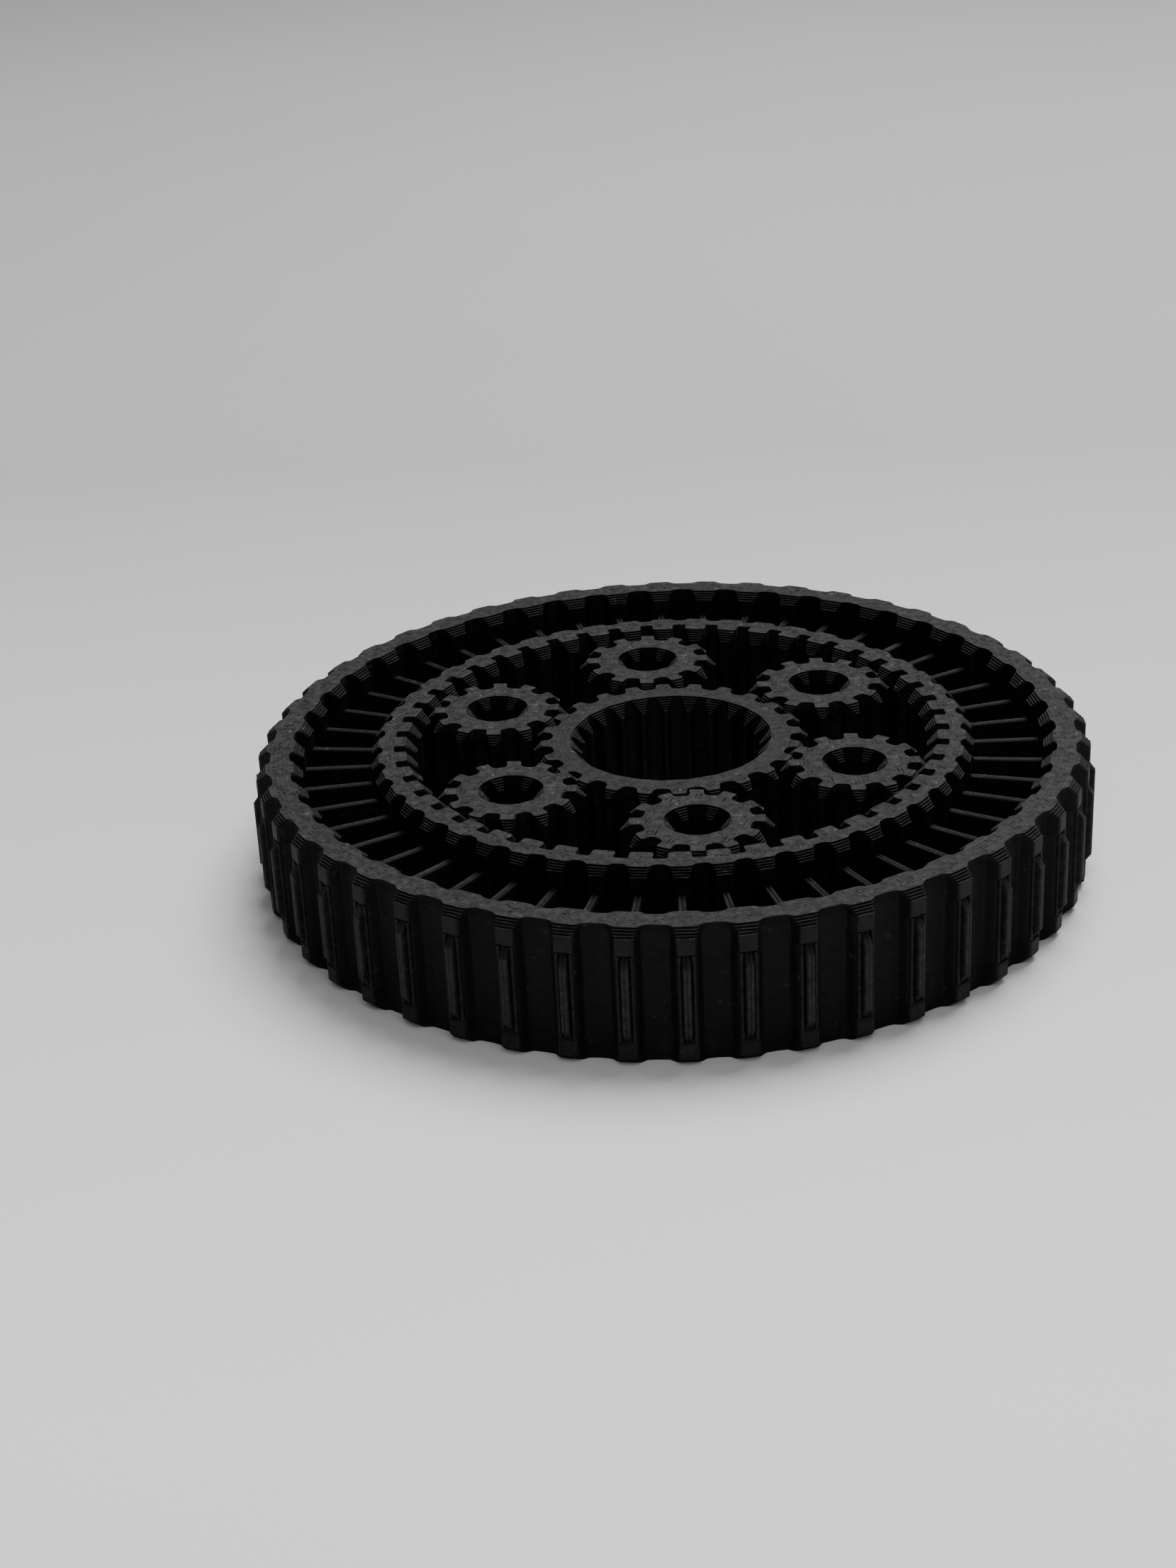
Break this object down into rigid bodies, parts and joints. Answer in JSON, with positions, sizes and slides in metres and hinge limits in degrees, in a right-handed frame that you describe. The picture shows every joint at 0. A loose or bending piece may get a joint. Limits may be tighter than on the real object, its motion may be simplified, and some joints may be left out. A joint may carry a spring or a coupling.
{
  "type": "planetary gear set",
  "caption": "3-D printed planetary gear set: a spoked, ribbed wheel with internal teeth holds planets around a bored sun gear, all in matte black plastic",
  "frame": {"origin": "on the wheel's axis, in the plane the wheel stands on", "axes": "+Z is the wheel's axis, pointing up; -Y is towards the picture's camera, and one post of the rim points along -Y"},
  "size_m": [0.0858, 0.0858, 0.014],
  "materials": {
    "wheel": "satin 3-D print",
    "sun": "satin 3-D print",
    "planet_1": "satin 3-D print",
    "planet_2": "satin 3-D print",
    "planet_3": "satin 3-D print",
    "planet_4": "satin 3-D print",
    "planet_5": "satin 3-D print",
    "planet_6": "satin 3-D print",
    "carrier_ring": "satin 3-D print"
  },
  "bodies": {
    "wheel": {"wheel": "wheel"},
    "sun": {"sun": "sun"},
    "carrier": {"carrier_ring": "carrier_ring"},
    "planet_1": {"planet_1": "planet_1"},
    "planet_2": {"planet_2": "planet_2"},
    "planet_3": {"planet_3": "planet_3"},
    "planet_4": {"planet_4": "planet_4"},
    "planet_5": {"planet_5": "planet_5"},
    "planet_6": {"planet_6": "planet_6"}
  },
  "joints": [
    {"name": "sun_spin", "type": "hinge", "parent": "wheel", "child": "sun", "pos_m": [0, 0, 0], "axis": [0, 0, 1], "continuous": true},
    {"name": "carrier_orbit", "type": "hinge", "parent": "wheel", "child": "carrier", "pos_m": [0, 0, 0], "axis": [0, 0, 1], "continuous": true},
    {"name": "planet_1_spin", "type": "hinge", "parent": "carrier", "child": "planet_1", "pos_m": [0.0161, 0.01153, 0], "axis": [0, 0, 1], "continuous": true},
    {"name": "planet_2_spin", "type": "hinge", "parent": "carrier", "child": "planet_2", "pos_m": [-0.00193, 0.01971, 0], "axis": [0, 0, 1], "continuous": true},
    {"name": "planet_3_spin", "type": "hinge", "parent": "carrier", "child": "planet_3", "pos_m": [-0.01803, 0.00818, 0], "axis": [0, 0, 1], "continuous": true},
    {"name": "planet_4_spin", "type": "hinge", "parent": "carrier", "child": "planet_4", "pos_m": [-0.0161, -0.01153, 0], "axis": [0, 0, 1], "continuous": true},
    {"name": "planet_5_spin", "type": "hinge", "parent": "carrier", "child": "planet_5", "pos_m": [0.00193, -0.01971, 0], "axis": [0, 0, 1], "continuous": true},
    {"name": "planet_6_spin", "type": "hinge", "parent": "carrier", "child": "planet_6", "pos_m": [0.01803, -0.00818, 0], "axis": [0, 0, 1], "continuous": true}
  ],
  "couplings": [
    {"joint": "carrier_orbit", "follows": "sun_spin", "ratio": 0.33333},
    {"joint": "planet_1_spin", "follows": "sun_spin", "ratio": -1.3333},
    {"joint": "planet_2_spin", "follows": "sun_spin", "ratio": -1.3333},
    {"joint": "planet_3_spin", "follows": "sun_spin", "ratio": -1.3333},
    {"joint": "planet_4_spin", "follows": "sun_spin", "ratio": -1.3333},
    {"joint": "planet_5_spin", "follows": "sun_spin", "ratio": -1.3333},
    {"joint": "planet_6_spin", "follows": "sun_spin", "ratio": -1.3333}
  ]
}
